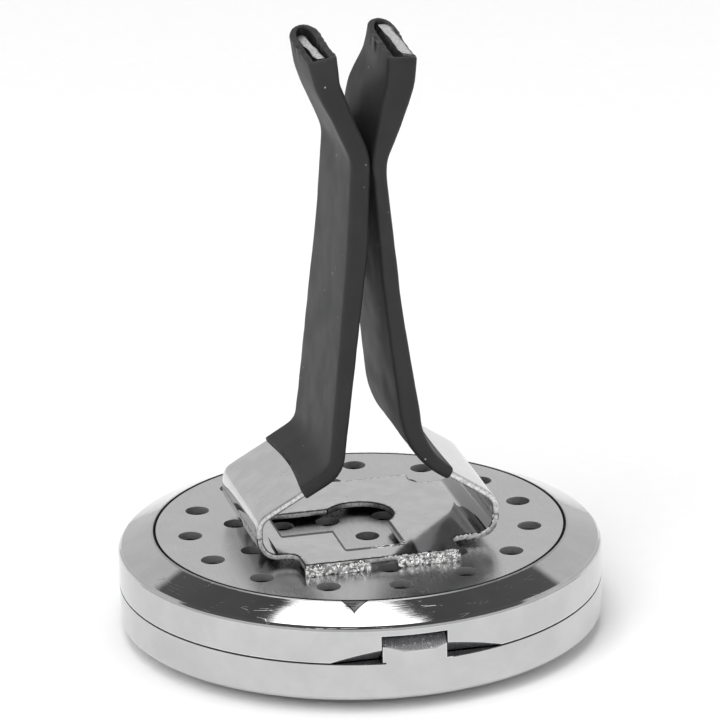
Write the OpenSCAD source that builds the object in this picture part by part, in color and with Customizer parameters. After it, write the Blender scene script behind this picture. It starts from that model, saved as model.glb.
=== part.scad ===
// Clip-on round diffuser locket, lying face down with its spring clip pointing up.
// A hinged two-part case holds a felt pad. The clip is welded to the perforated back plate.
// Origin: centre of the case on the surface it lies on. The hinge is towards -Y.

/* [Case] */
// Outer diameter of the case
case_d = 38; // [36:1:42]
// Height of each half of the case
half_h = 4.1; // [3.9:0.1:4.6]
// Height of the bevel around each face
bevel_h = 1.2; // [1:0.1:1.4]
// Radial width of the bevel
bevel_w = 2.83; // [2.6:0.01:3]
// Thickness of the case wall
wall_t = 1; // [0.8:0.05:1.1]
// Thickness of the openwork face and of the back plate
plate_t = 0.6; // [0.5:0.05:0.7]
// Thickness of the felt pad
pad_t = 2; // [1.2:0.1:2.2]

/* [Hinge] */
// Width of the hinge tab
tab_w = 5; // [4:0.1:5.4]
// Sideways offset of the hinge tab from the middle
tab_x = -0.38; // [-0.5:0.02:0.5]
// Diameter of the hinge pin
pin_d = 0.8; // [0.7:0.05:0.9]
// Height of the pin above the parting line
pin_rise = 0.6; // [0.55:0.05:0.7]
// Distance from the outer wall to the pin
pin_inset = 1.5; // [1.4:0.05:1.6]
// Largest opening angle of the case
open_angle = 45; // [30:1:46]

/* [Front face] */
// Number of drop-shaped petals
petals = 8; // [6:1:9]
// Radius of the round end of a petal
petal_r = 2.3; // [1.5:0.1:2.4]
// Distance of the petals' round ends from the middle
petal_reach = 9.2; // [8.6:0.1:9.6]
// Distance of the petals' points from the middle
petal_start = 3.2; // [2.8:0.1:4]
// Number of small holes around the petals
small_holes = 24; // [12:1:30]
// Diameter of the small holes
small_hole_d = 1.5; // [1:0.1:1.6]

/* [Back plate] */
// Diameter of the small holes
hole_d = 1.9; // [1.2:0.1:2.1]
// Radii of the rings of holes
ring_radii = [13.38, 9.78, 6.08, 2.62];
// Holes in each ring
ring_counts = [15, 10, 7, 3];

/* [Clip] */
// Thickness of the spring steel
sheet_t = 0.5; // [0.4:0.05:0.6]
// Width of the clip's strip
strip_w = 12.2; // [11:0.1:12.6]
// Sideways position of the clip's middle line
strip_y = -0.6; // [-0.8:0.1:0]
// Gap between the clip and the back plate
clip_lift = 0.38; // [0.2:0.02:0.5]
// How far the welded foot near the hinge stands out from the strip
near_reach = 2.8; // [2:0.1:3]
// How far the welded foot away from the hinge stands out from the strip
far_reach = 2.1; // [1.6:0.1:3]
// Height of the flex point of the jaws above the back plate
flex_h = 2.3; // [2.2:0.05:2.5]

/* [Sleeves] */
// Thickness of the left sleeve over its leg
left_sleeve_t = 1.5; // [1.2:0.05:1.6]
// Thickness of the right sleeve over its leg
right_sleeve_t = 1.25; // [1.2:0.05:1.5]
// Width of the sleeves at their lower ends
sleeve_w = 12.4; // [12.2:0.1:13]
// Width of the sleeves at their tips
tip_w = 9.4; // [9:0.1:11]
// Height of the sleeves' tips above the back plate
tip_h = 40.3; // [38:0.1:40.5]

/* [Hidden] */
$fn = 96;

case_r = case_d / 2;
case_h = 2 * half_h;
parting_gap = 0.08;
edge_r = 0.25;
face_r = case_r - bevel_w;
face_gap = 0.12;
face_land = 0.12;
face_ledge = 1;
ring_root = 2.4 * plate_t + 0.6;
small_ring_r = face_r - 2.57;
centre_hole_r = 1.6;
lip_h = 0.8;
lip_t = 0.7;
lip_gap = 0.1;
lip_root = 0.5;
lip_hinge_clear = case_r * 0.42;
lip_magnet_clear = 0.4;
pad_gap = 0.03;
pad_r = case_r - 4.7;
pad_notch_gap = 0.3;
past = 1;

magnet_d = 2;
magnet_t = 1.6;
magnet_y = case_r - 3;
magnet_boss_r = 1.5;

pin_y = -(case_r - pin_inset);
pin_z = half_h + pin_rise;
pin_len = 2 * tab_w + 0.2;
pin_fit = 0.03;
tab_r = 1.48;
tab_gap = 0.08;
tab_flush_h = 0.85;
tab_root = 1.6;
tab_depth = 0.9;
window_h = 2.2;
lug_w = 2.7;
lug_depth = 1.15;
lug_rise = 1.3;
relief_slope = open_angle + 1;

// Sheet lower bends and legs: corners of the middle line as [x, height above the plate, bend radius]
base_mid_h = clip_lift + sheet_t / 2;
base_bend_r = 1.5;
base_bend_run = 1.9;
left_x = -9.5;
right_x = 9.34;
left_corners = [[left_x, flex_h, 0], [left_x, 3.63, 1.2], [-3.27, 7.1, 2.1],
                [-1.05, 24.5, 40], [-0.55, 31.85, 4], [-2.95, 37.6, 3], [-3.6, 41.6, 0]];
right_corners = [[right_x, flex_h, 0], [right_x, 3.54, 1.5], [3.14, 7.75, 6.2],
                 [1.62, 20.3, 60], [0.86, 31.4, 4], [2.75, 37.4, 3], [3.15, 41.6, 0]];
flex_gap = 0.03;
blade_gap = 0.03;
sleeve_gap = 0.05;
blade_side = 0.5;
tip_recess = 0.3;
sleeve_run = 3.25;
bend_steps = 8;

// Window and feet of the clip's flat
window_r = 2.75;
slot_w = 4.6;
left_slot_end = -6.9;
left_slot_y = -0.55;
near_slot_end = -7.1;
near_slot_x = -0.5;
foot_left = -6.65;
foot_right = 5.7;
foot_corner_r = 1;
foot_corner_root = 0.1;
weld_w = 0.5;
weld_gap_left = -1.45;
weld_gap_right = 0.65;

steel = [0.78, 0.78, 0.79];
dull_steel = [0.66, 0.66, 0.67];
rubber = [0.17, 0.17, 0.17];
felt = [0.25, 0.25, 0.26];

// ---- outlines ----

function unit(v) = v / norm(v);
function flat(p) = [p[0], p[1]];

// Points of the arc that rounds corner b between a and c
function fillet(a, b, c, r) =
    let (u = unit(a - b),
         w = unit(c - b),
         half = acos(u * w) / 2,
         centre = b + unit(u + w) * r / sin(half),
         p = b + u * r / tan(half) - centre,
         q = b + w * r / tan(half) - centre,
         first = atan2(p.y, p.x),
         turn = atan2(q.y, q.x) - first,
         swing = turn > 180 ? turn - 360 : turn < -180 ? turn + 360 : turn)
    [for (i = [0:bend_steps]) let (a = first + swing * i / bend_steps) centre + r * [cos(a), sin(a)]];

// Middle line through corners [x, height, radius]
function rounded(c) =
    [flat(c[0]),
     for (i = [1:len(c) - 2]) each fillet(flat(c[i - 1]), flat(c[i]), flat(c[i + 1]), c[i][2]),
     flat(c[len(c) - 1])];

// Line at distance d to the left of a path
function beside(path, d) =
    let (last = len(path) - 1)
    [for (i = [0:last])
        let (before = unit(path[max(i, 1)] - path[max(i, 1) - 1]),
             after = unit(path[min(i, last - 1) + 1] - path[min(i, last - 1)]),
             along = unit(before + after))
        path[i] + d * [-along.y, along.x]];

// Closed outline of a strip of thickness t along a path
function ribbon(path, t) =
    let (left = beside(path, t / 2), right = beside(path, -t / 2), last = len(path) - 1)
    concat(left, [for (i = [0:last]) right[last - i]]);

// Corners of a leg from a distance run before its knee to beyond its tip
function jaw_corners(c, run) =
    let (start = flat(c[2]) + unit(flat(c[1]) - flat(c[2])) * run)
    [[start.x, start.y, 0], for (i = [2:len(c) - 1]) c[i]];

// Jaw width at a height above the plate, tapering to the tip
function jaw_w(h) = sleeve_w + (tip_w - sleeve_w) * (h - 5) / (tip_h - 5);

// Extrudes an outline in X and height above the plate along Y
module across(w) {
    translate([0, strip_y + w / 2, case_h])
        rotate([90, 0, 0])
            linear_extrude(w) children();
}

// Tapered slab that trims a jaw to its width, less a margin on each side, and to its height
module jaw_taper(margin, high) {
    low = -past;
    a = jaw_w(low) / 2 - margin;
    b = jaw_w(high) / 2 - margin;
    translate([-case_r, strip_y, case_h])
        rotate([90, 0, 90])
            linear_extrude(case_d)
                polygon([[-a, low], [a, low], [b, high], [-b, high]]);
}

// ---- case ----

// Half profile of a case ring, from a gap above the parting line (0) to the face
module ring_profile(inner_r, gap) {
    wall_h = half_h - bevel_h;
    polygon([[inner_r, gap], [case_r, gap], [case_r, wall_h - edge_r],
             [case_r - edge_r * 0.3, wall_h - edge_r * 0.3], [case_r - edge_r, wall_h + edge_r * 0.4],
             [face_r + face_land, half_h], [face_r, half_h], [face_r, half_h - plate_t],
             [face_r - face_ledge, half_h - plate_t], [face_r - face_ledge, half_h - 2 * plate_t],
             [inner_r, half_h - ring_root]]);
}

module magnet_boss() {
    translate([0, magnet_y, 0])
        cylinder(r = magnet_boss_r, h = half_h - 2 * plate_t);
}

module magnet_pocket() {
    translate([0, magnet_y, -past])
        cylinder(d = magnet_d, h = magnet_t + past);
}

module along_pin(r, len) {
    translate([tab_x - len / 2, pin_y, pin_z])
        rotate([0, 90, 0])
            cylinder(r = r, h = len);
}

// Front ring with its locating lip and the hinge tab
module front_shell() {
    inner_r = case_r - wall_t - lip_gap - lip_t;
    color(steel)
    difference() {
        union() {
            translate([0, 0, half_h])
                mirror([0, 0, 1])
                    difference() {
                        union() {
                            rotate_extrude() ring_profile(inner_r, 0);
                            intersection() {
                                magnet_boss();
                                cylinder(r = inner_r + lip_t / 2, h = half_h);
                            }
                        }
                        magnet_pocket();
                    }
            locating_lip(inner_r);
            hinge_tab(inner_r);
        }
        along_pin(pin_d / 2, tab_w + 2 * past);
    }
}

// Lip that centres the back case, cut away near the hinge and at the magnet
module locating_lip(inner_r) {
    difference() {
        translate([0, 0, half_h - lip_root])
            cylinder(r = inner_r + lip_t, h = lip_h + lip_root);
        translate([0, 0, half_h - past])
            cylinder(r = inner_r, h = lip_h + 2 * past);
        translate([-case_r, -case_r, half_h - past])
            cube([case_d, lip_hinge_clear, lip_h + 2 * past]);
        translate([-magnet_boss_r - lip_magnet_clear, 0, half_h])
            cube([2 * (magnet_boss_r + lip_magnet_clear), case_r, lip_h + past]);
    }
}

module hinge_tab(inner_r) {
    intersection() {
        cylinder(r = case_r, h = case_h);
        union() {
            translate([tab_x - tab_w / 2, -case_r, half_h - tab_root])
                cube([tab_w, case_r - inner_r + tab_depth, tab_root + tab_flush_h]);
            along_pin(tab_r, tab_w);
        }
    }
}

// Openwork disc of the front, with drop-shaped petals and a ring of small holes
module front_face() {
    color(steel)
    linear_extrude(plate_t)
        difference() {
            circle(r = face_r - face_gap);
            circle(r = centre_hole_r);
            for (i = [0:petals - 1])
                rotate(i * 360 / petals) petal();
            for (i = [0:small_holes - 1])
                rotate((i + 0.5) * 360 / small_holes)
                    translate([small_ring_r, 0]) circle(d = small_hole_d);
        }
}

// Drop: a circle and the two lines from the point that touch it
module petal() {
    spread = acos(petal_r / (petal_reach - petal_start));
    touch = petal_r * [-cos(spread), sin(spread)];
    translate([petal_reach, 0]) {
        circle(r = petal_r);
        polygon([[petal_start - petal_reach, 0], touch, [0, 0], [touch.x, -touch.y]]);
    }
}

module felt_pad() {
    color(felt)
    translate([0, 0, plate_t + pad_gap])
        difference() {
            cylinder(r = pad_r, h = pad_t);
            translate([0, magnet_y, -past])
                cylinder(r = magnet_boss_r + pad_notch_gap, h = pad_t + 2 * past);
        }
}

module hinge_pin() {
    color(dull_steel) along_pin(pin_d / 2, pin_len);
}

module front_magnet() {
    color(dull_steel)
    translate([0, magnet_y, half_h - magnet_t])
        cylinder(d = magnet_d, h = magnet_t);
}

// Back ring with its hinge lugs, the window for the tab and the relief that lets it open
module back_shell() {
    inner_r = case_r - wall_t;
    color(steel)
    difference() {
        union() {
            translate([0, 0, half_h])
                rotate_extrude() ring_profile(inner_r, parting_gap);
            intersection() {
                cylinder(r = case_r - 0.3, h = case_h - plate_t - 0.2);
                translate([0, 0, half_h + parting_gap]) back_inner_blocks();
            }
        }
        translate([tab_x - tab_w / 2 - tab_gap, -case_r - past, half_h - past])
            cube([tab_w + 2 * tab_gap, bevel_w + past, window_h + past]);
        translate([0, magnet_y, half_h - past])
            cylinder(d = magnet_d, h = magnet_t + parting_gap + past);
        along_pin(pin_d / 2 + pin_fit, pin_len + 0.1);
        opening_relief();
    }
}

// Hinge lugs on both sides of the tab, and the boss of the magnet
module back_inner_blocks() {
    for (side = [-1, 1])
        translate([tab_x + side * (tab_w / 2 + tab_gap + lug_w / 2) - lug_w / 2, -case_r, 0])
            cube([lug_w, pin_inset + lug_depth, pin_rise + lug_rise]);
    intersection() {
        magnet_boss();
        cylinder(r = case_r - wall_t / 2, h = half_h);
    }
}

// Sloping cut under the back ring at the hinge, so that it can tip back
module opening_relief() {
    start = pin_y - pin_rise * tan(relief_slope / 2);
    reach = case_r + past + start;
    translate([-case_r, 0, half_h])
        rotate([90, 0, 90])
            linear_extrude(case_d)
                polygon([[start, -past], [start, parting_gap], [start - reach, reach * tan(relief_slope)],
                         [start - reach, -past]]);
}

// Perforated disc with a hole towards the hinge in every ring
module back_plate() {
    color(dull_steel)
    translate([0, 0, case_h - plate_t])
        difference() {
            cylinder(r = face_r - face_gap, h = plate_t);
            for (k = [0:len(ring_radii) - 1])
                for (i = [0:ring_counts[k] - 1])
                    rotate(-90 + i * 360 / ring_counts[k])
                        translate([ring_radii[k], 0, -past])
                            cylinder(d = hole_d, h = plate_t + 2 * past, $fn = 32);
        }
}

module back_magnet() {
    color(dull_steel)
    translate([0, magnet_y, half_h + parting_gap])
        cylinder(d = magnet_d, h = magnet_t);
}

// ---- clip ----

// Square corner filler, turned into a concave fillet
module inside_corner(x, y, sx, sy) {
    translate([x, y])
        scale([sx, sy])
            difference() {
                translate([-foot_corner_root, -foot_corner_root])
                    square(foot_corner_r + foot_corner_root);
                translate([foot_corner_r, foot_corner_r]) circle(r = foot_corner_r, $fn = 32);
            }
}

// Plan of the clip's flat: strip, two feet and the window
module base_plan() {
    near = strip_y - strip_w / 2;
    far = strip_y + strip_w / 2;
    difference() {
        union() {
            translate([left_x + base_bend_r, near])
                square([right_x - left_x - 2 * base_bend_r, strip_w]);
            translate([foot_left, near - near_reach])
                square([foot_right - foot_left, strip_w + near_reach + far_reach]);
            inside_corner(foot_left, near, -1, -1);
            inside_corner(foot_right, near, 1, -1);
            inside_corner(foot_left, far, -1, 1);
            inside_corner(foot_right, far, 1, 1);
        }
        circle(r = window_r);
        translate([left_slot_end, left_slot_y - slot_w / 2]) square([-left_slot_end, slot_w]);
        translate([near_slot_x - slot_w / 2, near_slot_end]) square([slot_w, -near_slot_end]);
    }
}

// Stamped flat of the clip with its two upturned ends
module clip_base() {
    color(steel)
    union() {
        translate([0, 0, case_h + clip_lift])
            linear_extrude(sheet_t) base_plan();
        for (x = [left_x, right_x])
            across(strip_w)
                polygon(ribbon(rounded([[x - sign(x) * base_bend_run, base_mid_h, 0],
                                        [x, base_mid_h, base_bend_r],
                                        [x, flex_h - flex_gap, 0]]), sheet_t));
    }
}

// Weld bead along the edge of a foot from x0 to x1, on the side -1 (near the hinge) or 1
module weld(x0, x1, side) {
    reach = side < 0 ? near_reach : far_reach;
    edge = strip_y + side * (strip_w / 2 + reach);
    top = clip_lift + sheet_t;
    color(dull_steel)
    translate([x0, edge, case_h])
        rotate([90, 0, 90])
            linear_extrude(x1 - x0)
                polygon([for (a = [0:15:90]) [side * weld_w * cos(a), top * sin(a)], [0, 0]]);
}

module near_left_weld() {
    weld(foot_left, weld_gap_left, -1);
}

module near_right_weld() {
    weld(weld_gap_right, foot_right, -1);
}

module far_left_weld() {
    weld(foot_left, weld_gap_left, 1);
}

module far_right_weld() {
    weld(weld_gap_right, foot_right, 1);
}

// Spring leg: full width up to the sleeve, then a narrower tapering blade inside it
module leg(corners) {
    blade = jaw_corners(corners, sleeve_run);
    bare = [corners[0], corners[1], blade[0]];
    color(steel)
    union() {
        across(strip_w)
            polygon(ribbon(rounded(bare), sheet_t));
        intersection() {
            across(strip_w)
                polygon(ribbon(rounded(blade), sheet_t));
            jaw_taper(blade_side, tip_h - tip_recess);
        }
    }
}

// Rubber sleeve pushed over a leg, open at both ends
module sleeve(corners, thickness) {
    outside = rounded(jaw_corners(corners, sleeve_run - sleeve_gap));
    inside = rounded(jaw_corners(corners, sleeve_run + past));
    color(rubber)
    difference() {
        intersection() {
            across(2 * strip_w) polygon(ribbon(outside, thickness));
            jaw_taper(0, tip_h);
        }
        intersection() {
            across(2 * strip_w) polygon(ribbon(inside, sheet_t + 2 * blade_gap));
            jaw_taper(blade_side - blade_gap, tip_h + past);
        }
    }
}

module left_leg() {
    leg(left_corners);
}

module left_sleeve() {
    sleeve(left_corners, left_sleeve_t);
}

module right_leg() {
    leg(right_corners);
}

module right_sleeve() {
    sleeve(right_corners, right_sleeve_t);
}

front_shell();
front_face();
felt_pad();
hinge_pin();
front_magnet();
back_shell();
back_plate();
back_magnet();
clip_base();
near_left_weld();
near_right_weld();
far_left_weld();
far_right_weld();
left_leg();
left_sleeve();
right_leg();
right_sleeve();
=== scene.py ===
"""Looks of the round clip-on locket: steel, welds, rubber sleeves, felt, floor, light and camera.

Everything is in metres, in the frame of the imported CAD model. Lengths written in millimetres are
multiplied by MM.
"""

import math

import bmesh
import bpy
import numpy as np
from mathutils import Matrix, Vector, noise


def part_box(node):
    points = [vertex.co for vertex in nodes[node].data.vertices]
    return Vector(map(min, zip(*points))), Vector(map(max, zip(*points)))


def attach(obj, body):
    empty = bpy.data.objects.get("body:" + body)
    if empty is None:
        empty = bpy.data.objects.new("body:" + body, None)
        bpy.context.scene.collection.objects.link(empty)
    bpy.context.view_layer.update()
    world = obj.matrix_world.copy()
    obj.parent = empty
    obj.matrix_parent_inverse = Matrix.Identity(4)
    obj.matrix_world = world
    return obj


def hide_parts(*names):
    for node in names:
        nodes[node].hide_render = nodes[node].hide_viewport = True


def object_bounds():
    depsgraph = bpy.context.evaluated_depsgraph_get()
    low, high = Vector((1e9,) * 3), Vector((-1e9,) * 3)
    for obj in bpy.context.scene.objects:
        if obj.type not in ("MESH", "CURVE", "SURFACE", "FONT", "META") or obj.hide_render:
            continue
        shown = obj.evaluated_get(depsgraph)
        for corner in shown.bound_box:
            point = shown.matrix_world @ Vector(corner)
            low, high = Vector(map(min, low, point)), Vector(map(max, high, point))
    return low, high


MM = 0.001

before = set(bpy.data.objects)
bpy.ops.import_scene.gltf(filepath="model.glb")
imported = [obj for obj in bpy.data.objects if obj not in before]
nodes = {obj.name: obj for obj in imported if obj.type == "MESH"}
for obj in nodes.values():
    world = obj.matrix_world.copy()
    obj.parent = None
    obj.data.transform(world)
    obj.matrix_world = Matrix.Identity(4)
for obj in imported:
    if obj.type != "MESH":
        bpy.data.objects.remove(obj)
cad_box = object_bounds()

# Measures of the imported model
PLATE_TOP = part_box("back_plate")[1].z
BEVEL_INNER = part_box("back_plate")[1].x
CASE_R = cad_box[1].x
PARTING_Z = PLATE_TOP / 2
LEG_LOW, LEG_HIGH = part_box("left_leg")
STRIP_Y = (LEG_LOW.y + LEG_HIGH.y) / 2
FLEX_H = (LEG_LOW.z - PLATE_TOP) / MM
SHEET_T = 0.5 * MM

# Hinge tab: half its width, and the line above which its top is left rough. The line is at KNUCKLE_Z at
# the tab's sides and KNUCKLE_DROP lower in the middle.
TAB_HALF = 2.6 * MM
KNUCKLE_Z = PARTING_Z + 1.37 * MM
KNUCKLE_DROP = 0.5 * MM

# Painted reflection, a dark V on the bevel: its place along the ring, half its width and its reach outwards
V_REFLECTION_ARC = math.radians(-15.2) * CASE_R
V_REFLECTION_HALF = 1.15 * MM
V_REFLECTION_REACH = 1.35 * MM

# Painted shade, a dark line along the rims of the clip's window: its width, how much narrower it is across
# Y, and the shortest rim that gets one
RIM_WIDE = 0.17 * MM
RIM_SQUASH = 0.36
RIM_SHORTEST = 0.8 * MM

# Where those rims are: distance from the middle along X, and from the near and far side of the clip along Y
WINDOW_X = 7.2 * MM
WINDOW_NEAR = 2.2 * MM
WINDOW_FAR = 4.5 * MM

# Places of the materials on the clip
FACE_SLOT = 0
CUT_SLOT = 1
BURR_SLOT = 2

# Legs and sleeves in the plane across the hinge, in millimetres: x, height above the plate, bend radius
LEFT_X = -9.5
RIGHT_X = 9.34
LEFT_KNEE = (-3.27, 7.1, 2.1)
RIGHT_KNEE = (3.14, 7.75, 6.2)
LEFT_BEND = ((-1.05, 24.5, 40), (-0.55, 31.85, 4), (-2.95, 37.6, 3), (-3.6, 41.6, 0))
RIGHT_BEND = ((1.62, 20.3, 60), (0.86, 31.4, 4), (2.75, 37.4, 3), (3.15, 41.6, 0))

# Outside thickness of the sleeves, in millimetres: height, thickness
LEFT_PROFILE = ((5.4, 1.1), (7.2, 1.2), (10, 1.21), (16, 1.41), (24, 1.62), (32, 1.56), (35, 1.6),
                (37.5, 1.92), (39.6, 2.3), (41, 2.35))
RIGHT_PROFILE = ((5.8, 0.95), (8, 1.3), (11, 1.6), (16, 1.37), (24, 1.2), (30, 1.02), (32, 1.25),
                 (34, 1.8), (36, 2.1), (38, 2.25), (39.3, 2.3), (41, 2.3))

# How far the sleeves' far edges stand out, in millimetres: height, distance
LEFT_SPREAD = ((33, 0), (40, -0.3))
RIGHT_SPREAD = ((26, 0), (30, 0.45), (33, 0.85), (35, 0.85), (37, 0.65), (40, 0.5))

# Sleeves, in millimetres: width at SLEEVE_FOOT above the plate and how much narrower they are SLEEVE_RUN
# higher up, rounding of their edges, half the slot for the leg, and the wall at their mouth
SLEEVE_WIDE = 12.4
SLEEVE_NARROWS = 3.0
SLEEVE_FOOT = 5
SLEEVE_RUN = 35
SLEEVE_EDGE = 0.4
SLOT_HALF = 0.29
MOUTH_WALL = 0.5

# Legs, in millimetres: height at which they are inside their sleeves, how much narrower they are there at
# each edge, and the rounding of their edges
LEG_INSIDE = 6.4
LEG_MARGIN = 0.5
LEG_EDGE = 0.13

# Points in the outline of a strip, at each corner and along each side
CORNER_POINTS = 6
SIDE_POINTS = 16


# Brightness of the studio by level, 0 at the horizon and 1 straight up, and of its ceiling
SKY_STOPS = ((0.0, 0.75), (0.585, 0.75), (0.615, 0.14), (0.923, 0.10), (0.933, 1.0))
CEILING = 3.4


# ---- shader helpers and materials ----


def add(tree, kind, inputs=None, **settings):
    """New shader node. inputs: socket name or number -> value or another node's output."""
    made = tree.nodes.new(kind)
    for key, value in settings.items():
        setattr(made, key, value)
    for key, value in (inputs or {}).items():
        if isinstance(value, bpy.types.NodeSocket):
            tree.links.new(value, made.inputs[key])
        else:
            made.inputs[key].default_value = value
    return made


def maths(tree, operation, *values):
    return add(tree, "ShaderNodeMath", dict(enumerate(values)), operation=operation).outputs[0]


def times(tree, a, b):
    return maths(tree, "MULTIPLY", a, b)


def plus(tree, a, b):
    return maths(tree, "ADD", a, b)


def minus(tree, a, b):
    return maths(tree, "SUBTRACT", a, b)


def split(tree, vector):
    """X, Y and Z of a vector."""
    return add(tree, "ShaderNodeSeparateXYZ", {0: vector}).outputs


def grey(value, blue=None):
    """Grey as a colour, with its blue a little off if given."""
    return (value, value, value if blue is None else blue, 1)


def span(tree, value, low, high, out_low, out_high):
    """value mapped from low..high to out_low..out_high, smooth at the ends."""
    made = add(tree, "ShaderNodeMapRange", {
        "Value": value, "From Min": low, "From Max": high, "To Min": out_low, "To Max": out_high,
    }, interpolation_type="SMOOTHSTEP")
    return made.outputs[0]


def mixed(tree, factor, a, b):
    made = add(tree, "ShaderNodeMix", {0: factor, 6: a, 7: b}, data_type="RGBA")
    return made.outputs[2]


def place(tree):
    return add(tree, "ShaderNodeTexCoord").outputs["Object"]


def stretched(tree, vector, scale):
    return add(tree, "ShaderNodeMapping", {"Vector": vector, "Scale": scale}).outputs[0]


def grain(tree, vector, size, detail=3.0):
    """Noise whose lumps are about size metres across."""
    made = add(tree, "ShaderNodeTexNoise", {
        "Vector": vector, "Scale": 1 / size, "Detail": detail, "Roughness": 0.55,
    })
    return made.outputs["Fac"]


def cells(tree, vector, size, feature="F1"):
    """Distance field of Voronoi cells about size metres across."""
    made = add(tree, "ShaderNodeTexVoronoi", {"Vector": vector, "Scale": 1 / size}, feature=feature)
    return made.outputs["Distance"]


def around(tree, vector):
    """Coordinates (radius, arc about the Z axis, height) with the seam at +Y."""
    parts = split(tree, vector)
    square = plus(tree, times(tree, parts[0], parts[0]), times(tree, parts[1], parts[1]))
    radius = maths(tree, "SQRT", square)
    turn = maths(tree, "ARCTAN2", parts[0], times(tree, parts[1], -1.0))
    arc = times(tree, turn, CASE_R)
    return add(tree, "ShaderNodeCombineXYZ", {0: radius, 1: arc, 2: parts[2]}).outputs[0]


def worn_edge(tree, radius):
    """1 at sharp edges, 0 on open faces."""
    soft = add(tree, "ShaderNodeBevel", {"Radius": radius}, samples=4).outputs[0]
    true = add(tree, "ShaderNodeNewGeometry").outputs["Normal"]
    dot = add(tree, "ShaderNodeVectorMath", {0: soft, 1: true}, operation="DOT_PRODUCT")
    return span(tree, dot.outputs["Value"], 0.999, 0.93, 0.0, 1.0)


def finish_shader(name, build):
    """Material whose Principled inputs come from build(tree) -> dict."""
    material = bpy.data.materials.new(name)
    material.use_nodes = True
    tree = material.node_tree
    shader = tree.nodes["Principled BSDF"]
    for key, value in build(tree).items():
        if isinstance(value, bpy.types.NodeSocket):
            tree.links.new(value, shader.inputs[key])
        else:
            shader.inputs[key].default_value = value
    return material


def bump(tree, height, distance, strength=1.0, under=None):
    """Normal tilted by a height field. under: the normal below it, if it isn't the surface's own."""
    inputs = {"Height": height, "Distance": distance, "Strength": strength}
    if under is not None:
        inputs["Normal"] = under
    return add(tree, "ShaderNodeBump", inputs).outputs[0]


def either(tree, factor, one, two):
    """Inputs of two finishes mixed: one where factor is 0, two where it is 1."""
    rough = add(tree, "ShaderNodeMix", {0: factor, 2: one["Roughness"], 3: two["Roughness"]},
                data_type="FLOAT")
    tilt = add(tree, "ShaderNodeMix", {0: factor, 4: one["Normal"], 5: two["Normal"]},
               data_type="VECTOR")
    return {
        "Base Color": mixed(tree, factor, one["Base Color"], two["Base Color"]),
        "Metallic": 1.0,
        "Roughness": rough.outputs[0],
        "Normal": tilt.outputs[1],
    }


def facing_up(tree):
    """How far the true surface faces up, -1 to 1."""
    true = add(tree, "ShaderNodeNewGeometry").outputs["True Normal"]
    return split(tree, true)[2]


def scratches(tree, at, ring):
    """Stray scratches that run mostly round the ring, in patches."""
    net = cells(tree, stretched(tree, ring, (1.0, 0.12, 0.6)), 0.7 * MM, "DISTANCE_TO_EDGE")
    line = span(tree, net, 0.0, 0.02, 1.0, 0.0)
    patch = span(tree, grain(tree, at, 1.3 * MM, 2.0), 0.5, 0.6, 0.0, 1.0)
    return times(tree, line, patch)


def crowned(tree, ring):
    """Normal of a bevel that is slightly crowned and wavy from polishing."""
    out = add(tree, "ShaderNodeMapRange", {
        "Value": split(tree, ring)[0], "From Min": BEVEL_INNER, "From Max": CASE_R,
    }).outputs[0]
    crown = times(tree, plus(tree, maths(tree, "POWER", out, 2.0), out), -1.0)
    wave = grain(tree, stretched(tree, ring, (1.0, 0.35, 1.0)), 2.4 * MM, 2.0)
    return bump(tree, wave, 0.012 * MM, 1.0, bump(tree, crown, 0.075 * MM))


def polished(tree):
    """Mirror-polished turned ring: fine lines round it, stray scratches, bright worn edges."""
    at = place(tree)
    ring = around(tree, at)
    lines = grain(tree, stretched(tree, ring, (1.0, 0.02, 1.0)), 0.05 * MM, 2.0)
    blotch = grain(tree, at, 3.0 * MM, 4.0)
    marks = scratches(tree, at, ring)
    tint = mixed(tree, span(tree, blotch, 0.35, 0.7, 0.0, 1.0), grey(0.515, 0.52), grey(0.56, 0.565))
    rough = span(tree, blotch, 0.3, 0.75, 0.02, 0.06)
    return {
        "Base Color": mixed(tree, worn_edge(tree, 0.12 * MM), tint, grey(0.80)),
        "Metallic": 1.0,
        "Roughness": plus(tree, rough, times(tree, marks, 0.25)),
        "Normal": bump(tree, minus(tree, lines, marks), 0.002 * MM, 0.7, crowned(tree, ring)),
    }


def seam_line(tree, parts):
    """1 along the parting line on the outer wall of the case."""
    off = maths(tree, "ABSOLUTE", minus(tree, parts[2], PARTING_Z))
    near_seam = span(tree, off, 0.05 * MM, 0.09 * MM, 1.0, 0.0)
    upright = span(tree, maths(tree, "ABSOLUTE", facing_up(tree)), 0.4, 0.6, 1.0, 0.0)
    outside = span(tree, parts[0], CASE_R - 0.2 * MM, CASE_R - 0.1 * MM, 0.0, 1.0)
    return times(tree, near_seam, times(tree, upright, outside))


def dark_lines(tree, ring, finish, seam_share=1.0):
    """A finish with painted shade in the groove round the plate and in the parting line, and a rougher lip.

    seam_share: 0 where the parting line is left out.
    """
    parts = split(tree, ring)
    groove = span(tree, parts[0], BEVEL_INNER + 0.18 * MM, BEVEL_INNER + 0.23 * MM, 1.0, 0.0)
    lip = span(tree, parts[0], BEVEL_INNER + 0.32 * MM, BEVEL_INNER + 0.4 * MM, 1.0, 0.0)
    # painted shade: dark colour in the groove round the plate and along the parting line
    groove_and_seam_shade = maths(tree, "MAXIMUM", groove, times(tree, seam_line(tree, parts), seam_share))
    rough = plus(tree, finish["Roughness"], times(tree, lip, 0.35))
    finish["Roughness"] = plus(tree, rough, times(tree, groove_and_seam_shade, 0.4))
    finish["Base Color"] = mixed(tree, groove_and_seam_shade, finish["Base Color"], grey(0.06))
    return finish


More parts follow.
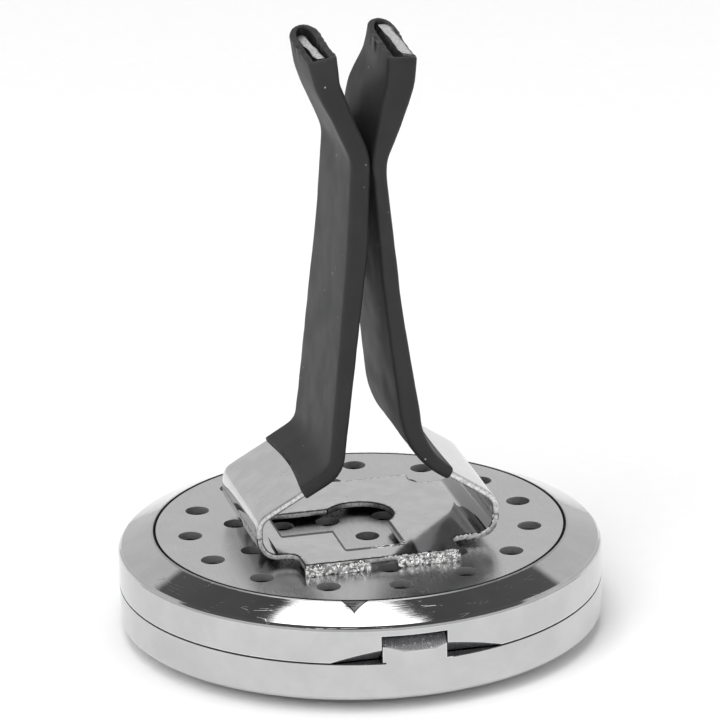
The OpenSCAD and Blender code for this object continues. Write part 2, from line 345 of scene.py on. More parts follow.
def painted_v_reflection(tree, ring, finish):
    """A finish with a painted reflection: one small dark V that hangs from the inner edge of the bevel."""
    parts = split(tree, ring)
    down = maths(tree, "DIVIDE", minus(tree, parts[0], BEVEL_INNER + 0.3 * MM), V_REFLECTION_REACH)
    left = maths(tree, "MAXIMUM", minus(tree, 1.0, down), 0.0)
    half = times(tree, maths(tree, "POWER", left, 1.6), V_REFLECTION_HALF)
    off = maths(tree, "ABSOLUTE", minus(tree, parts[1], V_REFLECTION_ARC))
    inside = minus(tree, half, off)
    body = span(tree, inside, 0.0, 0.06 * MM, 0.0, 1.0)
    core = span(tree, inside, 0.12 * MM, 0.3 * MM, 0.0, 1.0)
    shade = mixed(tree, core, grey(0.03), grey(0.1))
    finish["Base Color"] = mixed(tree, body, finish["Base Color"], shade)
    return finish


def back_ring(tree):
    """Polished, with the sloping cut under the hinge, which faces down, in the rough dark milled finish:
    rough cut steel, its darkness partly painted shade.
    """
    # painted shade in part: faces turned down get the darker milled steel
    under = span(tree, facing_up(tree), -0.2, -0.4, 0.0, 1.0)
    both = either(tree, under, polished(tree), milled(tree))
    ring = around(tree, place(tree))
    return dark_lines(tree, ring, painted_v_reflection(tree, ring, both))


def front_ring(tree):
    """Polished, with a rough as-formed knuckle on top of the hinge tab and no parting line across it."""
    at = place(tree)
    parts = split(tree, at)
    off = maths(tree, "ABSOLUTE", parts[0])
    side = maths(tree, "POWER", maths(tree, "DIVIDE", off, TAB_HALF), 2.0)
    line = maths(tree, "MULTIPLY_ADD", side, KNUCKLE_DROP, KNUCKLE_Z - KNUCKLE_DROP)
    knuckle = span(tree, minus(tree, parts[2], line), 0.0, 0.03 * MM, 0.0, 1.0)
    both = either(tree, knuckle, polished(tree), milled(tree))
    past_tab = maths(tree, "MAXIMUM", minus(tree, off, TAB_HALF), parts[1])
    off_tab = span(tree, past_tab, 0.0, 0.05 * MM, 0.0, 1.0)
    return dark_lines(tree, around(tree, at), both, off_tab)


def satin(tree):
    """Bead-blasted plate: fine even grain, faint darker handling marks, painted shade along its outer edge
    by the groove.
    """
    at = place(tree)
    fine = grain(tree, at, 0.05 * MM, 2.0)
    cloud = grain(tree, at, 4.0 * MM, 3.0)
    rub = grain(tree, stretched(tree, at, (1.0, 0.15, 1.0)), 0.25 * MM, 3.0)
    wall = span(tree, facing_up(tree), 0.7, 0.3, 0.0, 1.0)
    sheen = plus(tree, span(tree, cloud, 0.3, 0.7, 0.22, 0.28),
                 span(tree, rub, 0.4, 0.7, -0.01, 0.025))
    radius = split(tree, around(tree, at))[0]
    # painted shade: dark line along the plate's outer edge, next to the groove
    rim = span(tree, radius, BEVEL_INNER - 0.05 * MM, BEVEL_INNER - 0.02 * MM, 0.0, 1.0)
    tint = mixed(tree, span(tree, cloud, 0.35, 0.7, 0.0, 1.0), grey(0.56, 0.565), grey(0.62))
    worn = mixed(tree, worn_edge(tree, 0.08 * MM), tint, grey(0.76))
    return {
        "Base Color": mixed(tree, rim, worn, grey(0.06)),
        "Metallic": 1.0,
        "Roughness": plus(tree, sheen, times(tree, wall, 0.5)),
        "Normal": bump(tree, fine, 0.0006 * MM, 0.4),
    }


def pitted(tree, at):
    """1 in small pits that come in patches."""
    dots = span(tree, cells(tree, at, 0.34 * MM), 0.10, 0.2, 1.0, 0.0)
    patch = span(tree, grain(tree, at, 2.2 * MM, 2.0), 0.55, 0.66, 0.0, 1.0)
    return times(tree, dots, patch)


def sprung(tree, rim=0.2 * MM, underside_shade=0.85):
    """Bright rolled spring steel: scuffs along the strip, pits, small handling dents.

    rim: width of the rolled rim at its edges, painted dark as shade with painted highlight dashes. The last
    argument, 0 to 1, is how much painted shade darkens its undersides.
    """
    at = place(tree)
    scuff = grain(tree, stretched(tree, at, (0.12, 1.0, 0.12)), 0.1 * MM, 3.0)
    cloud = grain(tree, at, 1.8 * MM, 4.0)
    pits = pitted(tree, at)
    # painted shade: undersides darker
    under = span(tree, facing_up(tree), 0.0, -0.35, 0.0, underside_shade)
    # painted shade along the rims, with painted highlight dashes
    highlight_dash = span(tree, grain(tree, at, 0.32 * MM, 2.0), 0.5, 0.57, 0.0, 1.0)
    rolled = mixed(tree, highlight_dash, grey(0.16, 0.165), grey(0.9))
    clean = mixed(tree, span(tree, cloud, 0.35, 0.7, 0.0, 1.0), grey(0.56, 0.565), grey(0.62))
    tint = mixed(tree, pits, clean, grey(0.3, 0.31))
    dent = bump(tree, grain(tree, at, 2.6 * MM, 1.0), 0.004 * MM, 0.5)
    return {
        "Base Color": mixed(tree, under, mixed(tree, worn_edge(tree, rim), tint, rolled), grey(0.1, 0.105)),
        "Metallic": 1.0,
        "Roughness": plus(tree, span(tree, cloud, 0.3, 0.75, 0.045, 0.08),
                          span(tree, scuff, 0.45, 0.75, 0.0, 0.04)),
        "Normal": bump(tree, minus(tree, scuff, pits), 0.0015 * MM, 0.5, dent),
    }


def window_rims():
    """Ends of the straight top rims of the clip's window, except its rims away from the hinge."""
    work = cad_copy("clip_base")
    work.normal_update()
    low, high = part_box("clip_base")
    rims = []
    for edge in work.edges:
        if len(edge.link_faces) != 2 or edge.calc_length() < RIM_SHORTEST:
            continue
        top, wall = sorted(edge.link_faces, key=lambda face: -face.normal.z)
        start, end = (vert.co.copy() for vert in edge.verts)
        middle = (start + end) / 2
        on_top = top.normal.z > 0.99 and abs(wall.normal.z) < 0.3
        inside = abs(middle.x) < WINDOW_X and low.y + WINDOW_NEAR < middle.y < high.y - WINDOW_FAR
        if on_top and inside and wall.normal.y > -0.3:
            rims.append((start, end))
    work.free()
    return rims


def vector_maths(tree, operation, a, b):
    return add(tree, "ShaderNodeVectorMath", {0: a, 1: b}, operation=operation).outputs


def rim_distance(tree, at, rims):
    """Distance to the nearest rim in plan view, with Y squashed so that rims along X get wider lines."""
    here = stretched(tree, at, (1.0, RIM_SQUASH, 0.0))
    nearest = 1.0
    for start, end in rims:
        first = Vector((start.x, start.y * RIM_SQUASH, 0))
        along = Vector((end.x, end.y * RIM_SQUASH, 0)) - first
        away = vector_maths(tree, "SUBTRACT", here, first)[0]
        dot = vector_maths(tree, "DOT_PRODUCT", away, along)["Value"]
        share = maths(tree, "DIVIDE", dot, along.length_squared)
        share = maths(tree, "MINIMUM", maths(tree, "MAXIMUM", share, 0.0), 1.0)
        foot = add(tree, "ShaderNodeVectorMath", {0: along, "Scale": share}, operation="SCALE").outputs[0]
        gap = vector_maths(tree, "DISTANCE", away, foot)["Value"]
        nearest = maths(tree, "MINIMUM", nearest, gap)
    return nearest


def shade_right_bend(tree, finish):
    """A finish with painted shade on the inner side of the right bend, which faces left."""
    across = split(tree, place(tree))[0]
    sideways = split(tree, add(tree, "ShaderNodeNewGeometry").outputs["Normal"])[0]
    bend = times(tree, span(tree, sideways, -0.08, -0.3, 0.0, 0.8),
                 span(tree, across, 6.5 * MM, 7.5 * MM, 0.0, 1.0))
    # painted shade on the bend's inner side
    finish["Base Color"] = mixed(tree, bend, finish["Base Color"], grey(0.13, 0.135))
    return finish


def leg_steel(tree):
    """Spring steel of the legs."""
    return shade_right_bend(tree, sprung(tree))


def stamped(tree):
    """Spring steel of the flat, with wide rolled rims painted dark as shade and a line of painted shade
    round the window.
    """
    finish = sprung(tree, 0.5 * MM, 0.3)
    gap = rim_distance(tree, place(tree), window_rims())
    # painted shade: dark line round the window, in the burr's colour
    line = times(tree, span(tree, gap, RIM_WIDE, RIM_WIDE + 0.03 * MM, 1.0, 0.0),
                 span(tree, facing_up(tree), 0.6, 0.9, 0.0, 1.0))
    finish["Base Color"] = mixed(tree, line, finish["Base Color"], burr(tree)["Base Color"])
    return shade_right_bend(tree, finish)


def cut_edge(tree):
    """Sheared, tumbled edge of the strip: bright beads, darker towards its rims."""
    at = place(tree)
    bead = cells(tree, at, 0.2 * MM, "SMOOTH_F1")
    fine = grain(tree, at, 0.07 * MM, 3.0)
    side = times(tree, worn_edge(tree, 0.2 * MM), 0.9)
    beads = mixed(tree, span(tree, bead, 0.15, 0.75, 0.0, 1.0), grey(0.88), grey(0.55, 0.56))
    return {
        "Base Color": mixed(tree, side, beads, grey(0.2)),
        "Metallic": 1.0,
        "Roughness": span(tree, fine, 0.3, 0.7, 0.28, 0.45),
        "Normal": bump(tree, minus(tree, fine, bead), 0.012 * MM, 0.6),
    }


def burr(tree):
    """Rolled-over rim of a punched edge: painted dark as shade, with painted highlight dashes on the rim
    nearest to the hinge.
    """
    at = place(tree)
    parts = split(tree, at)
    near_rim = span(tree, parts[1], LEG_LOW.y + 0.4 * MM, LEG_LOW.y + 0.1 * MM, 0.0, 1.0)
    highlight_zone = times(tree, span(tree, parts[0], -1.4 * MM, 0.0, 0.0, 1.0), near_rim)
    highlight_dash = times(tree, span(tree, grain(tree, at, 0.3 * MM, 2.0), 0.47, 0.53, 0.0, 1.0), highlight_zone)
    return {
        # painted shade, with painted highlight dashes
        "Base Color": mixed(tree, highlight_dash, grey(0.05, 0.052), grey(0.95)),
        "Metallic": 1.0,
        "Roughness": 0.3,
        "Normal": bump(tree, grain(tree, at, 0.08 * MM, 3.0), 0.015 * MM, 0.6),
    }


def welded(tree):
    """Sparkling rough weld metal with soot patches and painted shade in its hollows."""
    at = place(tree)
    lump = cells(tree, at, 0.3 * MM)
    fine = grain(tree, at, 0.12 * MM, 2.0)
    smoke = span(tree, grain(tree, at, 0.6 * MM, 3.0), 0.58, 0.72, 0.0, 0.5)
    # soot patches, and painted shade in the hollows between lumps
    soot_and_hollow_shade = maths(tree, "MAXIMUM", smoke, span(tree, lump, 0.45, 0.7, 0.0, 0.8))
    relief = minus(tree, times(tree, fine, 0.3), lump)
    return {
        "Base Color": mixed(tree, soot_and_hollow_shade, grey(0.98, 0.97), grey(0.2)),
        "Metallic": 1.0,
        "Roughness": span(tree, fine, 0.3, 0.7, 0.12, 0.26),
        "Normal": bump(tree, relief, 0.05 * MM, 0.8),
    }


def rubbery(tree):
    """Matt black rubber: fine grain, drawn lines along the sleeve, dust, paler rubbed edges."""
    at = place(tree)
    fine = grain(tree, at, 0.07 * MM, 4.0)
    drawn = grain(tree, stretched(tree, at, (1.0, 1.0, 0.06)), 0.35 * MM, 3.0)
    cloud = grain(tree, at, 3.5 * MM, 3.0)
    speck = span(tree, cells(tree, at, 1.5 * MM), 0.03, 0.06, 1.0, 0.0)
    dust = times(tree, speck, span(tree, grain(tree, at, 5.0 * MM, 1.0), 0.5, 0.6, 0.0, 1.0))
    body = mixed(tree, span(tree, cloud, 0.3, 0.7, 0.0, 1.0), grey(0.013, 0.0135), grey(0.022, 0.0225))
    rubbed = mixed(tree, times(tree, worn_edge(tree, 0.25 * MM), 0.35), body, grey(0.06))
    return {
        "Base Color": mixed(tree, dust, rubbed, grey(0.42, 0.41)),
        "Metallic": 0.0,
        "Roughness": span(tree, cloud, 0.3, 0.7, 0.5, 0.62),
        "Specular IOR Level": 0.36,
        "Normal": bump(tree, fine, 0.012 * MM, 0.55, bump(tree, drawn, 0.02 * MM, 0.5)),
    }


def felted(tree):
    """Pressed grey felt with loose fibres."""
    at = place(tree)
    fibre = grain(tree, stretched(tree, at, (1.0, 0.3, 1.0)), 0.12 * MM, 4.0)
    cross = grain(tree, stretched(tree, at, (0.3, 1.0, 1.0)), 0.12 * MM, 4.0)
    mat = maths(tree, "MAXIMUM", fibre, cross)
    light = span(tree, mat, 0.4, 0.75, 0.0, 1.0)
    return {
        "Base Color": mixed(tree, light, grey(0.05, 0.055), grey(0.20, 0.21)),
        "Roughness": 0.95,
        "Sheen Weight": 0.4,
        "Normal": bump(tree, mat, 0.08 * MM, 0.9),
    }


def milled(tree):
    """Rough dark steel of pin, tab top and magnets, with bright speckles."""
    at = place(tree)
    fine = grain(tree, at, 0.08 * MM, 4.0)
    glint = span(tree, grain(tree, at, 0.16 * MM, 2.0), 0.6, 0.72, 0.0, 1.0)
    return {
        "Base Color": mixed(tree, glint, grey(0.30, 0.31), grey(0.85)),
        "Metallic": 1.0,
        "Roughness": span(tree, fine, 0.3, 0.7, 0.24, 0.45),
        "Normal": bump(tree, fine, 0.03 * MM, 0.8),
    }


def paper(tree):
    """White studio floor with a barely visible tooth."""
    at = place(tree)
    tooth = grain(tree, at, 1.5 * MM, 3.0)
    return {
        "Base Color": mixed(tree, tooth, grey(0.90), grey(0.93)),
        "Roughness": 0.9,
        "Specular IOR Level": 0.2,
        "Normal": bump(tree, tooth, 0.02 * MM, 0.2),
    }


# ---- mesh helpers ----


def new_piece(name, work, materials, smooth_angle=None):
    """Object from a bmesh, with its materials. Edges sharper than smooth_angle degrees aren't smoothed."""
    mesh = bpy.data.meshes.new(name)
    bmesh.ops.recalc_face_normals(work, faces=work.faces)
    for face in work.faces:
        face.smooth = True
    if smooth_angle is not None:
        for edge in work.edges:
            if len(edge.link_faces) == 2 and edge.calc_face_angle() > math.radians(smooth_angle):
                edge.smooth = False
    work.to_mesh(mesh)
    work.free()
    piece = bpy.data.objects.new(name, mesh)
    bpy.context.scene.collection.objects.link(piece)
    for material in materials:
        mesh.materials.append(material)
    return piece


def cad_copy(node):
    """A bmesh of a CAD node with its flat faces joined up."""
    work = bmesh.new()
    work.from_mesh(nodes[node].data)
    bmesh.ops.remove_doubles(work, verts=work.verts, dist=0.001 * MM)
    bmesh.ops.dissolve_limit(work, angle_limit=math.radians(0.5), verts=work.verts, edges=work.edges)
    return work


def round_edges(work, width, below):
    """Rounds the sharp edges, except those that lie wholly above the height below."""
    sharp_angle = math.radians(35)
    sharp = [edge for edge in work.edges
             if len(edge.link_faces) == 2 and edge.calc_face_angle() > sharp_angle
             and min(vert.co.z for vert in edge.verts) < below]
    bmesh.ops.bevel(work, geom=sharp, offset=width, segments=2, profile=0.6,
                    affect="EDGES", clamp_overlap=False, material=BURR_SLOT)


def show(piece, body, slot, *replaced):
    """Rides a piece on its body in the place of CAD nodes."""
    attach(piece, body)
    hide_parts(*replaced)
    return piece


def dress(node, material):
    """Gives a carried-over CAD node its finish."""
    mesh = nodes[node].data
    mesh.materials.clear()
    mesh.materials.append(material)


def bridge(work, rings, closed):
    """Joins rings of vertices into a skin. closed also joins the last ring to the first."""
    count = len(rings[0])
    pairs = list(zip(rings, rings[1:]))
    if closed:
        pairs.append((rings[-1], rings[0]))
    for a, b in pairs:
        for i in range(count):
            j = (i + 1) % count
            work.faces.new((a[i], a[j], b[j], b[i]))


POLISHED = finish_shader("polished_steel_finish", polished)
BACK_RING = finish_shader("back_ring_finish", back_ring)
FRONT_RING = finish_shader("front_ring_finish", front_ring)
SATIN = finish_shader("satin_steel_finish", satin)
SPRUNG = finish_shader("spring_steel_finish", leg_steel)
STAMPED = finish_shader("stamped_steel_finish", stamped)
CUT = finish_shader("cut_edge_finish", cut_edge)
BURR = finish_shader("burr_finish", burr)
WELD = finish_shader("weld_finish", welded)
RUBBER = finish_shader("rubber_finish", rubbery)
FELT = finish_shader("felt_finish", felted)
MILLED = finish_shader("rough_steel_finish", milled)
PAPER = finish_shader("floor_finish", paper)


# ---- sleeves and legs ----


def corner_arc(a, b, c, radius, steps):
    """Points of the arc of that radius that rounds corner b between a and c."""
    u = (a - b).normalized()
    w = (c - b).normalized()
    half = u.angle(w) / 2
    centre = b + (u + w).normalized() * radius / math.sin(half)
    start = b + u * radius / math.tan(half) - centre
    end = b + w * radius / math.tan(half) - centre
    turn = start.angle_signed(end)
    points = []
    for i in range(steps + 1):
        angle = -turn * i / steps
        points.append(centre + Matrix.Rotation(angle, 2) @ start)
    return points


def middle_line(corners, steps=10):
    """Smooth line through corners [x, height above the plate, bend radius], in millimetres."""
    flat = [Vector(c[:2]) for c in corners]
    line = [flat[0]]
    for i in range(1, len(flat) - 1):
        line += corner_arc(flat[i - 1], flat[i], flat[i + 1], corners[i][2], steps)
    line.append(flat[-1])
    return line


def walk(line, step):
    """Points every step along a line, with the direction at each."""
    lengths = [0.0]
    for a, b in zip(line, line[1:]):
        lengths.append(lengths[-1] + (b - a).length)
    count = round(lengths[-1] / step)
    wanted = np.linspace(0, lengths[-1], count + 1)
    xs = np.interp(wanted, lengths, [point.x for point in line])
    heights = np.interp(wanted, lengths, [point.y for point in line])
    points = [Vector(pair) for pair in zip(xs, heights)]
    out = []
    for i, point in enumerate(points):
        before = points[max(i - 1, 0)]
        after = points[min(i + 1, count)]
        out.append((point, (after - before).normalized()))
    return out


def path_to(corners, step, top, last_gap):
    """A walk along rounded corners that ends at the height top. The step before it is last_gap lower."""
    path = [stop for stop in walk(middle_line(corners), step) if stop[0].y < top - last_gap]
    point, along = path[-1]
    path.append((point + along * (top - point.y) / along.y, along))
    return path


def section(near, far, thick, near_r, far_r, far_len=None):
    """Closed outline of a strip's section: (across the strip, through it), rounded at both edges.

    far_len: how far the far edge's rounding reaches along the strip, if more than far_r.
    """
    near_r = min(near_r, thick / 2 * 0.999)
    far_r = min(far_r, thick / 2 * 0.999)
    far_len = far_r if far_len is None else max(far_r, far_len)
    near_x = near + near_r
    far_x = far - far_len
    corners = ((far_x, 1, far_len, far_r), (near_x, 1, near_r, near_r),
               (near_x, -1, near_r, near_r), (far_x, -1, far_len, far_r))
    points = []
    for quarter, (middle, side, reach, radius) in enumerate(corners):
        level = side * (thick / 2 - radius)
        for i in range(CORNER_POINTS):
            angle = math.pi / 2 * (quarter + i / (CORNER_POINTS - 1))
            points.append((middle + reach * math.cos(angle), level + radius * math.sin(angle)))
        if quarter in (0, 2):
            start = points[-1][0]
            end = near_x if quarter == 0 else far_x
            points += [(start + (end - start) * i / (SIDE_POINTS + 1), side * thick / 2)
                       for i in range(1, SIDE_POINTS + 1)]
    return points


def loft(work, path, ring_at):
    """Rings along a path. ring_at(index, point, along) gives (across, x, height) triples in mm."""
    rings = []
    for i, (point, along) in enumerate(path):
        rings.append([work.verts.new((x * MM, y * MM, PLATE_TOP + height * MM))
                      for y, x, height in ring_at(i, point, along)])
    return rings


def ease(value, low, high):
    """0 below low, 1 above high, smooth between."""
    share = float(np.clip((value - low) / (high - low), 0, 1))
    return share * share * (3 - 2 * share)


def table_at(value, pairs):
    """Value read from a table of (position, value) pairs."""
    return float(np.interp(value, [pair[0] for pair in pairs], [pair[1] for pair in pairs]))


def edges_at(height, spread=((0, 0),)):
    """Near and far edge of a sleeve at a height above the plate, in millimetres.

    spread: (height, how far the far edge stands out there) pairs.
    """
    half = (SLEEVE_WIDE - SLEEVE_NARROWS * (height - SLEEVE_FOOT) / SLEEVE_RUN) / 2
    middle = STRIP_Y / MM
    return middle - half, middle + half + table_at(height, spread)


def sleeve(name, body, corners, profile, rim, spread):
    """Rubber sleeve: a flattened tube over the leg, its mouth spread open and drawn out at the far end.

    profile: (height, outside thickness) pairs. rim: height of the rim's near edge, rise to its far
    edge, and how far the far edge is twisted over. spread: as in edges_at. All in millimetres.
    """
    top, rise, twist = rim
    path = path_to(corners, 0.4, top, 0.7)
    last = len(path) - 1

    def ring_at(i, point, along, bore):
        side = Vector((along.y, -along.x))
        thick = table_at(point.y, profile)
        near, far = edges_at(point.y, spread)
        mouth = ease(point.y, top - 5, top)
        wall = 0.0
        if bore:
            most = thick / 2 - SLOT_HALF
            wall = min(table_at(point.y, ((top - 4, most), (top - 0.5, MOUTH_WALL))), most)
        near_r = max(SLEEVE_EDGE - wall / 2, 0.12)
        far_r = max(SLEEVE_EDGE + (thick / 2 - SLEEVE_EDGE) * mouth - wall, 0.12)
        outline = section(near + wall, far - wall, thick - 2 * wall, near_r, far_r,
                          SLEEVE_EDGE + 2.1 * mouth)
        for y, through in outline:
            share = (y - near) / (far - near)
            bow = 0.4 * (1 - (2 * share - 1) ** 2) * max(0.0, 1 - i / 5)
            lift = rise * share ** 2 * ease(i, last - 8, last)
            ripple = noise.noise(Vector((point.x, y, point.y)) * 0.4 + Vector((9, 4, 2)))
            swell = 0.05 * ripple * (0 if bore else 1) * min(1.0, i / 6)
            frill = (0.05 * noise.noise(Vector((y * 1.3, through * 2, 5.5))) - 0.03) * (i == last)
            spot = point + along * (bow + lift + frill) + side * (through + math.copysign(swell, through))
            yield y, spot.x + twist * share ** 2 * mouth, spot.y

    work = bmesh.new()
    outer = loft(work, path, lambda i, point, along: ring_at(i, point, along, False))
    inner = loft(work, path, lambda i, point, along: ring_at(i, point, along, True))
    bridge(work, outer + inner[::-1], closed=True)
    rims = [edge for ring in (outer[0], outer[-1], inner[-1]) for edge in work.edges
            if edge.verts[0] in ring and edge.verts[1] in ring]
    bmesh.ops.bevel(work, geom=rims, offset=0.13 * MM, segments=3, profile=0.5, affect="EDGES",
                    clamp_overlap=True)
    return show(new_piece(name + "_rubber", work, [RUBBER]), body, "rubber", name)


def leg(name, body, corners, tip, sag_by):
    """Spring leg of the clip, from the flex line to the rough tip inside its sleeve's mouth.

    tip: (height, near edge, far edge, extra thickness, sideways shift) of the tip. sag_by: how much
    lower the tip's far corner is. All in millimetres.
    """
    tip_h, tip_near, tip_far, tip_extra, tip_shift = tip
    path = path_to(corners, 0.3, tip_h, 0.2)
    strip_near = LEG_LOW.y / MM
    strip_far = LEG_HIGH.y / MM

    def ring_at(i, point, along):
        side = Vector((along.y, -along.x))
        near, far = edges_at(point.y)
        inside = ease(point.y, LEG_INSIDE, LEG_INSIDE + 0.8)
        tight = ease(point.y, tip_h - 6, tip_h - 1)
        rough = ease(point.y, tip_h - 2, tip_h - 0.5)
        low = strip_near + (near + LEG_MARGIN - strip_near) * inside
        high = strip_far + (far - LEG_MARGIN - strip_far) * inside
        low += (tip_near - low) * tight
        high += (tip_far - high) * tight
        thick = SHEET_T / MM + tip_extra * rough
        for y, through in section(low, high, thick, LEG_EDGE, LEG_EDGE):
            at_edge = min(y - low, high - y) < 0.2
            place_now = Vector((point.x, y, point.y))
            nick = 0.018 * noise.noise(place_now * 3.4) if at_edge else 0.0
            lump = 0.09 * rough * noise.noise(place_now * 1.7 + Vector((3, 1, 8)))
            outward = -1 if y - low < high - y else 1
            ragged = rough * (0.22 * noise.noise(Vector((y * 1.1, through, 2.5))) - 0.1)
            sag = sag_by * (y - low) / (high - low) * rough
            spot = point + side * (through * (1 + nick * 2) + lump) + along * (ragged - sag)
            yield y + outward * nick, spot.x + tip_shift * rough, spot.y

    work = bmesh.new()
    rings = loft(work, path, ring_at)
    bridge(work, rings, closed=False)
    for ring in (rings[0], rings[-1]):
        work.faces.new(ring).material_index = CUT_SLOT
    work.normal_update()
    for face in work.faces:
        near_tip = face.calc_center_median().z > PLATE_TOP + (tip_h - 1.6) * MM
        if abs(face.normal.y) > 0.35 or near_tip:
            face.material_index = CUT_SLOT
    piece = new_piece(name + "_sheet", work, [SPRUNG, CUT], smooth_angle=50)
    return show(piece, body, "spring_steel", name)


sleeve("left_sleeve", "left_jaw", ((-6.0, 5.58, 0), LEFT_KNEE) + LEFT_BEND, LEFT_PROFILE,
       (39.85, 0.3, 0.35), LEFT_SPREAD)
sleeve("right_sleeve", "right_jaw", ((5.82, 5.93, 0), RIGHT_KNEE) + RIGHT_BEND, RIGHT_PROFILE,
       (39.5, 0.42, 0.45), RIGHT_SPREAD)
leg("left_leg", "left_jaw", ((LEFT_X, FLEX_H, 0), (LEFT_X, 3.63, 1.2), LEFT_KNEE) + LEFT_BEND,
    (39.75, -4.4, 2.7, 0.1, 0.0), 0.2)
leg("right_leg", "right_jaw", ((RIGHT_X, FLEX_H, 0), (RIGHT_X, 3.54, 1.5), RIGHT_KNEE) + RIGHT_BEND,
    (39.6, -4.5, 3.6, 0.35, 0.5), -0.2)


# ---- clip ----


def clip_flat(node, body):
    """The flat of the clip with rounded, beaded cut edges. The edges at its split lines stay sharp."""
    rounding = 0.08 * MM
    split_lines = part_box(node)[1].z - 0.05 * MM
    work = cad_copy(node)
    work.normal_update()
    for face in work.faces:
        face.material_index = CUT_SLOT if base_cut(face) else FACE_SLOT
    round_edges(work, rounding, split_lines)
    piece = new_piece(node + "_sheet", work, [STAMPED, CUT, BURR], smooth_angle=40)
    for face in piece.data.polygons:
        face.use_smooth = abs(face.normal.z) < 0.999
    return show(piece, body, "spring_steel", node)


def base_cut(face):
    """True for upright cut faces of the flat, its feet and its window, false for the sheet's own faces."""
    bends = 8.5 * MM
    upright = abs(face.normal.z) < 0.3
    at_bend = abs(face.normal.x) > 0.9 and abs(face.calc_center_median().x) > bends
    return upright and not at_bend


clip_flat("clip_base", "back_case")


def weld_bead(node, seed):
    """Lumpy run of weld that laps over a foot's edge and down to the plate, flatter at the far feet."""
    low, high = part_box(node)
    long_steps = 150
    round_steps = 26
    lap = 0.3 * MM
    lump_size = 0.3 * MM
    lump_height = 0.24 * MM
    towards = -1 if low.y < 0 else 1
    fullness = 0.86 if towards < 0 else 0.6
    root = high.y if towards < 0 else low.y
    reach = high.y - low.y
    rise = high.z - low.z

    def spot_at(share, angle):
        x = low.x + (high.x - low.x) * share
        ends = min(1.0, 16 * min(share, 1 - share)) ** 0.5
        wide = 1 + 0.22 * noise.noise(Vector((x / (0.9 * MM), seed, 1.5)))
        out = math.cos(angle)
        half = (reach + lap) / 2 * (0.7 + 0.3 * ends) * wide
        y = root + towards * ((reach - lap) / 2 + half * out)
        arch = max(0.0, math.sin(angle)) ** (1.0 if out > 0 else 0.3)
        spot = Vector((x, y, arch * rise)) / lump_size + Vector((seed, 0, 0))
        lump = (0.4 - noise.voronoi(spot)[0][0]) * lump_height * ends
        z = low.z + rise * arch * fullness * (0.6 + 0.4 * ends) + lump * (1 if arch > 0.2 else 0)
        return x, y + towards * out * lump * 1.1, max(z, PLATE_TOP + 0.01 * MM)

    work = bmesh.new()
    rings = []
    for i in range(long_steps + 1):
        rings.append([work.verts.new(spot_at(i / long_steps, math.pi * k / (round_steps - 1)))
                      for k in range(round_steps)])
    bridge(work, rings, closed=False)
    for ring in (rings[0], rings[-1]):
        work.faces.new(ring)
    piece = new_piece(node + "_bead", work, [WELD])
    return show(piece, "back_case", "weld", node)


for number, bead in enumerate(("near_left_weld", "near_right_weld", "far_left_weld", "far_right_weld")):
    weld_bead(bead, 3.7 * number)


# ---- case ----


def felt_edge(angle, radius):
    """Distance from the middle to the felt's edge, which is notched for the closing magnet."""
    notch = Vector((0, CASE_R - 3 * MM, 0))
    notch_r = 1.8 * MM
    direction = Vector((math.cos(angle), math.sin(angle), 0))
    along = direction.dot(notch)
    off = (notch - direction * along).length
    if along > 0 and off < notch_r:
        return min(radius, along - math.sqrt(notch_r ** 2 - off ** 2))
    return radius


def felt_disc():
    """Pressed felt pad with a soft, slightly crowned top and a fuzzy rim."""
    low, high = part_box("felt_pad")
    thick = high.z - low.z
    rings_out = 40
    spokes = 144
    work = bmesh.new()

    def layer(share, height):
        ring = []
        for k in range(spokes):
            angle = 2 * math.pi * k / spokes
            fuzz = 1 + 0.006 * noise.noise(Vector((math.cos(angle) * 9, math.sin(angle) * 9, height * 40)))
            radius = felt_edge(angle, high.x) * share * min(fuzz, 1.0)
            x = radius * math.cos(angle)
            y = radius * math.sin(angle)
            lump = 0.05 * MM * noise.noise(Vector((x, y, height)) / (1.3 * MM))
            z = low.z + thick * height + (lump - 0.05 * MM if height > 0.5 else 0)
            ring.append(work.verts.new((x, y, max(z, low.z))))
        return ring

    shares = [step / rings_out for step in range(1, rings_out + 1)]
    crown = [layer(0.995 * share, 1.0 - 0.12 * share ** 6) for share in shares]
    waist = [layer(1.0, height) for height in (0.8, 0.6, 0.4, 0.2)]
    below = [layer(0.995 * share, 0.0) for share in shares[::-1]]
    rings = crown + waist + below
    bridge(work, rings, closed=False)
    work.faces.new(rings[0])
    work.faces.new(rings[-1])
    piece = new_piece("felt_disc", work, [FELT], smooth_angle=60)
    show(piece, "front_case", "felt", "felt_pad")


felt_disc()
dress("front_shell", FRONT_RING)
dress("back_shell", BACK_RING)
dress("front_face", POLISHED)
dress("back_plate", SATIN)
dress("hinge_pin", MILLED)
dress("front_magnet", MILLED)
dress("back_magnet", MILLED)


# ---- studio ----


def studio_floor():
    """Wide white disc."""
    work = bmesh.new()
    rings = []
    for radius in (0.02, 0.05, 0.1, 0.2, 0.4, 0.8, 1.6, 3.0):
        rings.append([work.verts.new((radius * math.cos(angle), radius * math.sin(angle), 0))
                      for angle in np.linspace(0, 2 * math.pi, 64, endpoint=False)])
    bridge(work, rings, closed=False)
    work.faces.new(rings[0])
    floor = new_piece("floor", work, [PAPER])


def sky_level(tree, way):
    """Height of a direction, tilted and with soft uneven borders, 1 straight up.

    The bright ceiling above the dark band is tilted more than the band.
    """
    parts = split(tree, way)
    tilt = span(tree, parts[2], 0.75, 0.88, -0.035, -0.07)
    drop = span(tree, parts[2], 0.75, 0.88, 0.0, -0.0103)
    height = plus(tree, maths(tree, "MULTIPLY_ADD", parts[0], tilt, parts[2]), drop)
    drift = add(tree, "ShaderNodeTexNoise", {"Vector": way, "Scale": 2.5, "Detail": 1.0}).outputs["Fac"]
    return plus(tree, height, span(tree, drift, 0.2, 0.8, -0.015, 0.015))


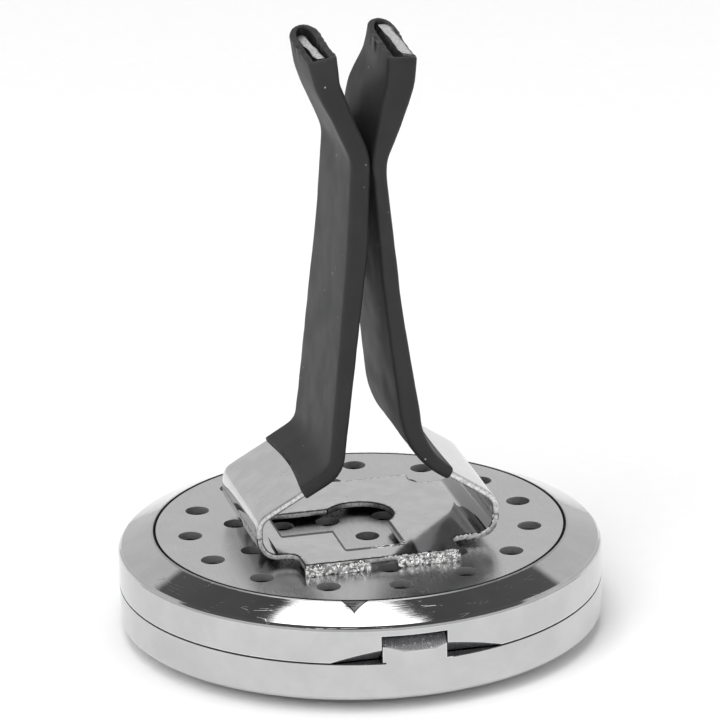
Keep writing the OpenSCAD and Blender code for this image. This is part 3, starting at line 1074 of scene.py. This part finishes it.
def studio_sky():
    """White horizon, dark band above it, bright soft ceiling: what the polished steel reflects."""
    world = bpy.data.worlds.new("studio")
    bpy.context.scene.world = world
    world.use_nodes = True
    tree = world.node_tree
    level = sky_level(tree, add(tree, "ShaderNodeTexCoord").outputs["Generated"])
    ramp = add(tree, "ShaderNodeValToRGB", {0: level})
    first, *between, last = SKY_STOPS
    elements = ramp.color_ramp.elements
    for element, (position, value) in ((elements[0], first), (elements[1], last)):
        element.position = position
        element.color = grey(value)
    for position, value in between:
        made = elements.new(position)
        made.color = grey(value)
    background = tree.nodes["Background"]
    tree.links.new(ramp.outputs[0], background.inputs["Color"])
    tree.links.new(span(tree, level, 0.922, 0.934, 1.0, CEILING), background.inputs["Strength"])


def soft_light(name, place_at, size, power):
    """Square area light aimed at the middle of the object. The steel doesn't mirror it."""
    light = bpy.data.lights.new(name, "AREA")
    light.size = size
    light.energy = power
    lamp = bpy.data.objects.new(name, light)
    bpy.context.scene.collection.objects.link(lamp)
    lamp.location = place_at
    aim = Vector((0, 0, 0.02)) - Vector(place_at)
    lamp.rotation_euler = aim.to_track_quat("-Z", "Y").to_euler()
    lamp.visible_glossy = False


def photo_camera():
    """Long lens, slightly above and to the left of the hinge."""
    turn = math.radians(-13.5)
    rise = 0.3389
    roll = -0.0214
    distance = 24.9635 * CASE_R
    side_shift = -0.0047 * CASE_R
    up_shift = 1.0281 * CASE_R
    base = Vector((0, 0, 1.2 * MM))
    spin = Matrix.Rotation(turn, 3, "Z")
    right = spin @ Vector((1, 0, 0))
    back = spin @ Vector((0, -math.cos(rise), math.sin(rise)))
    up = back.cross(right)
    side = right * math.cos(roll) + up * math.sin(roll)
    top = -right * math.sin(roll) + up * math.cos(roll)
    spot = base + back * distance + side * side_shift + top * up_shift
    lens = bpy.data.cameras.new("photo_view")
    lens.lens = 300
    lens.sensor_width = 36
    lens.clip_start = 0.01
    camera = bpy.data.objects.new("photo_view", lens)
    bpy.context.scene.collection.objects.link(camera)
    turned = Matrix((side, top, back)).transposed()
    camera.matrix_world = Matrix.Translation(spot) @ turned.to_4x4()
    bpy.context.scene.camera = camera


studio_floor()
studio_sky()
soft_light("key", (-0.35, -0.45, 0.6), 0.6, 4.4)
soft_light("fill", (0.5, -0.2, 0.45), 0.5, 0.5)
photo_camera()
bpy.context.scene.view_settings.view_transform = "Standard"
